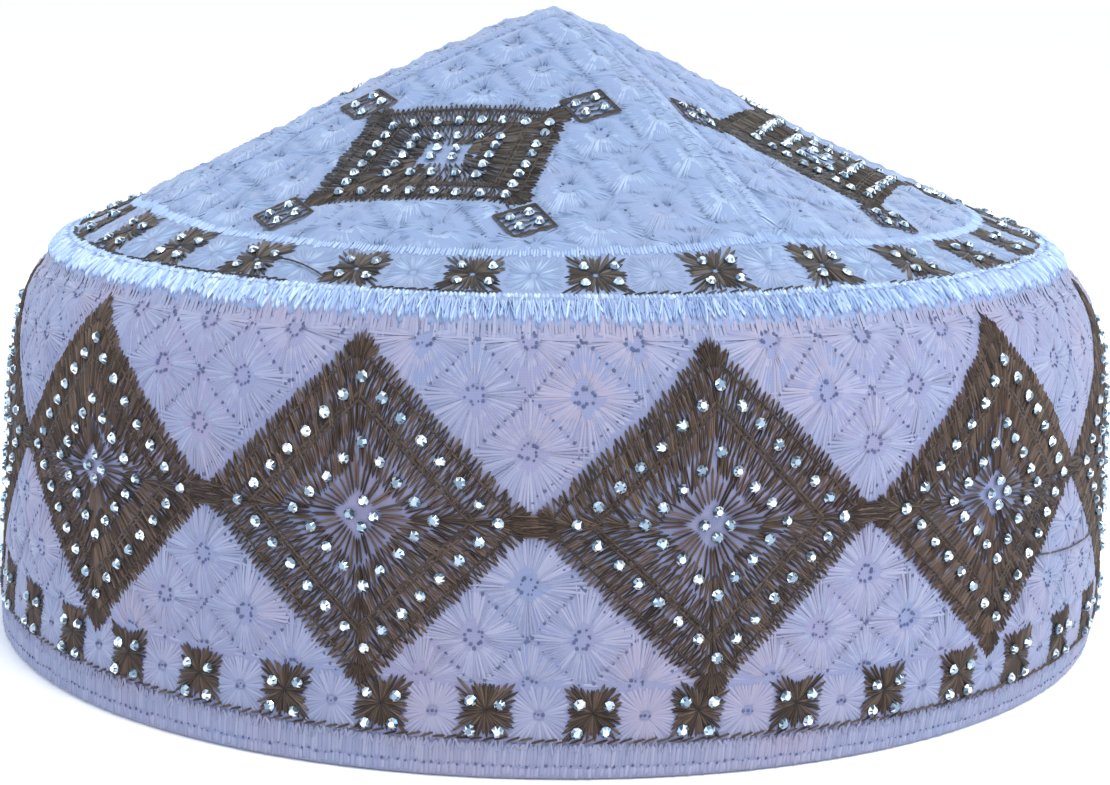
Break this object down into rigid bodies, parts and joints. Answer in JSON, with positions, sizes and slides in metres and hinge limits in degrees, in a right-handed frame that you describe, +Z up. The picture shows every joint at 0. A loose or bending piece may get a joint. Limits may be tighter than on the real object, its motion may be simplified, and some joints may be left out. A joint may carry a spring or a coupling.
{
  "type": "kufi cap",
  "caption": "Round embroidered kufi cap with a quilted band, a stitched border and a four-gore crown rising to a point, with brown diamond motifs.",
  "frame": {"origin": "bottom centre of the cap's box, on the surface that it stands on and within 1 mm of the middle of the hem's opening", "axes": "+Z up through the crown's point; -Y is the front, with the middle of a crown gore 20 degrees to its left; +X is the viewer's right"},
  "size_m": [0.1895, 0.189, 0.1023],
  "materials": {
    "quilted_cotton": "satin cotton, quilted with pale thread",
    "white_stitching": "bright satin stitches",
    "brown_thread": "dense brown satin stitches",
    "rhinestone": "foil-backed faceted glass"
  },
  "bodies": {
    "root": {"hem_border": "white_stitching", "side_band": "quilted_cotton", "top_border": "white_stitching", "lower_square_row": "brown_thread", "band_diamond_01": "brown_thread", "band_diamond_02": "brown_thread", "band_diamond_03": "brown_thread", "band_diamond_04": "brown_thread", "band_diamond_05": "brown_thread", "band_diamond_06": "brown_thread", "band_diamond_07": "brown_thread", "band_diamond_08": "brown_thread", "band_diamond_09": "brown_thread", "band_diamond_10": "brown_thread", "band_diamond_11": "brown_thread", "band_diamond_12": "brown_thread", "crown_gore_1": "quilted_cotton", "crown_gore_2": "quilted_cotton", "crown_gore_3": "quilted_cotton", "crown_gore_4": "quilted_cotton", "crown_ridge_1": "white_stitching", "crown_ridge_2": "white_stitching", "crown_ridge_3": "white_stitching", "crown_ridge_4": "white_stitching", "crown_diamond_1": "brown_thread", "crown_diamond_2": "brown_thread", "crown_diamond_3": "brown_thread", "crown_diamond_4": "brown_thread", "crown_square_row_1": "brown_thread", "crown_square_row_2": "brown_thread", "crown_square_row_3": "brown_thread", "crown_square_row_4": "brown_thread"}
  },
  "joints": []
}
